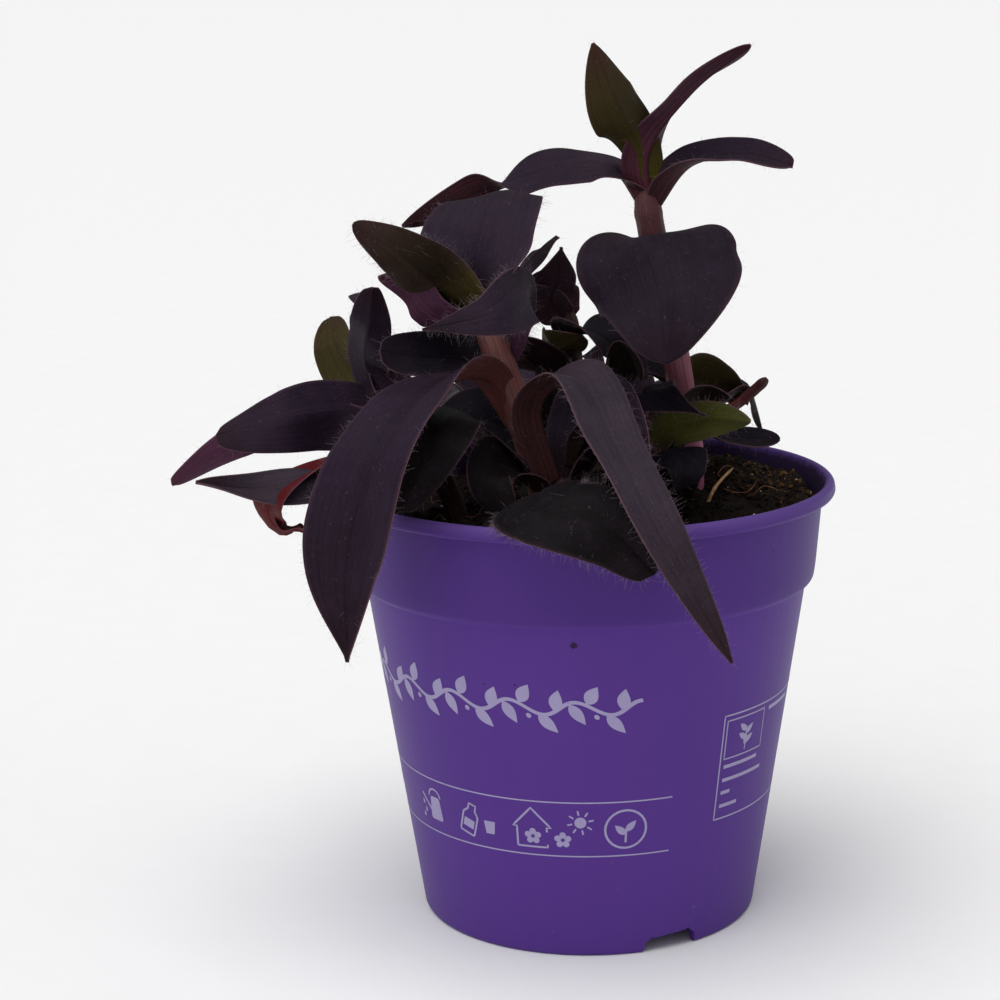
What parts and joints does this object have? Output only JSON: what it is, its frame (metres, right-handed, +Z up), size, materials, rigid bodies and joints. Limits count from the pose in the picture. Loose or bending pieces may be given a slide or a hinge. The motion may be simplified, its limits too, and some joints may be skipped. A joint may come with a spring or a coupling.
{
  "type": "potted trailing plant",
  "caption": "Trailing purple-leaved houseplant with arching and drooping lance-shaped leaves in a tapered plastic nursery pot with a raised collar.",
  "frame": {"origin": "centre of the pot's underside, on the surface it stands on", "axes": "+Z up; -Y towards the viewer of the picture; +X to the viewer's right"},
  "size_m": [0.1616, 0.1517, 0.2102],
  "materials": {
    "pot": "satin",
    "soil": "matte",
    "straw": "matte",
    "stem": "satin",
    "leaf_dark": "satin",
    "leaf_plum": "satin",
    "leaf_navy": "satin",
    "leaf_olive": "satin",
    "leaf_wine": "satin",
    "leaf_green": "satin"
  },
  "bodies": {
    "root": {"stem_tall": "stem", "stem_front": "stem", "stem_left": "stem", "stem_low_front": "stem", "stem_low_right": "stem", "stem_middle": "stem", "stem_back_right": "stem", "stem_back_left": "stem", "cut_flower_stalk": "leaf_wine", "leaf_tall_heart": "leaf_dark", "leaf_tall_left": "leaf_plum", "leaf_tall_right": "leaf_plum", "leaf_tall_up_right": "leaf_wine", "leaf_tall_up_left": "leaf_olive", "leaf_tall_low_right": "leaf_olive", "leaf_tall_low_back": "leaf_wine", "leaf_tall_behind": "leaf_navy", "leaf_front_long_left": "leaf_dark", "leaf_front_behind": "leaf_navy", "leaf_front_young": "leaf_plum", "leaf_front_magenta": "leaf_wine", "leaf_front_olive": "leaf_olive", "leaf_front_upright": "leaf_plum", "leaf_left_low": "leaf_plum", "leaf_left_curled": "leaf_wine", "leaf_left_far": "leaf_wine", "leaf_left_broad": "leaf_dark", "leaf_left_olive": "leaf_olive", "leaf_left_upright": "leaf_dark", "leaf_left_tip": "leaf_plum", "leaf_rim_front": "leaf_navy", "leaf_inner_round": "leaf_navy", "leaf_inner_left": "leaf_navy", "leaf_front_long_right": "leaf_dark", "leaf_right_curl": "leaf_wine", "leaf_inner_brown": "leaf_wine", "leaf_low_right_round": "leaf_navy", "leaf_low_right_grey": "leaf_navy", "leaf_low_right_green": "leaf_green", "leaf_low_right_blue": "leaf_navy", "leaf_low_right_top": "leaf_olive", "leaf_middle_old": "leaf_olive", "leaf_middle_fill": "leaf_wine", "leaf_middle_low_left": "leaf_navy", "leaf_middle_low_front": "leaf_wine", "leaf_middle_low_right": "leaf_navy", "leaf_middle_green": "leaf_green", "leaf_middle_blue": "leaf_navy", "leaf_middle_wine": "leaf_wine", "leaf_middle_thin": "leaf_plum", "leaf_back_right_a": "leaf_dark", "leaf_back_right_b": "leaf_plum", "leaf_back_right_c": "leaf_dark", "leaf_back_left_a": "leaf_dark", "leaf_back_left_b": "leaf_plum", "leaf_back_left_c": "leaf_wine", "soil": "soil", "straw": "straw", "pot": "pot"}
  },
  "joints": []
}
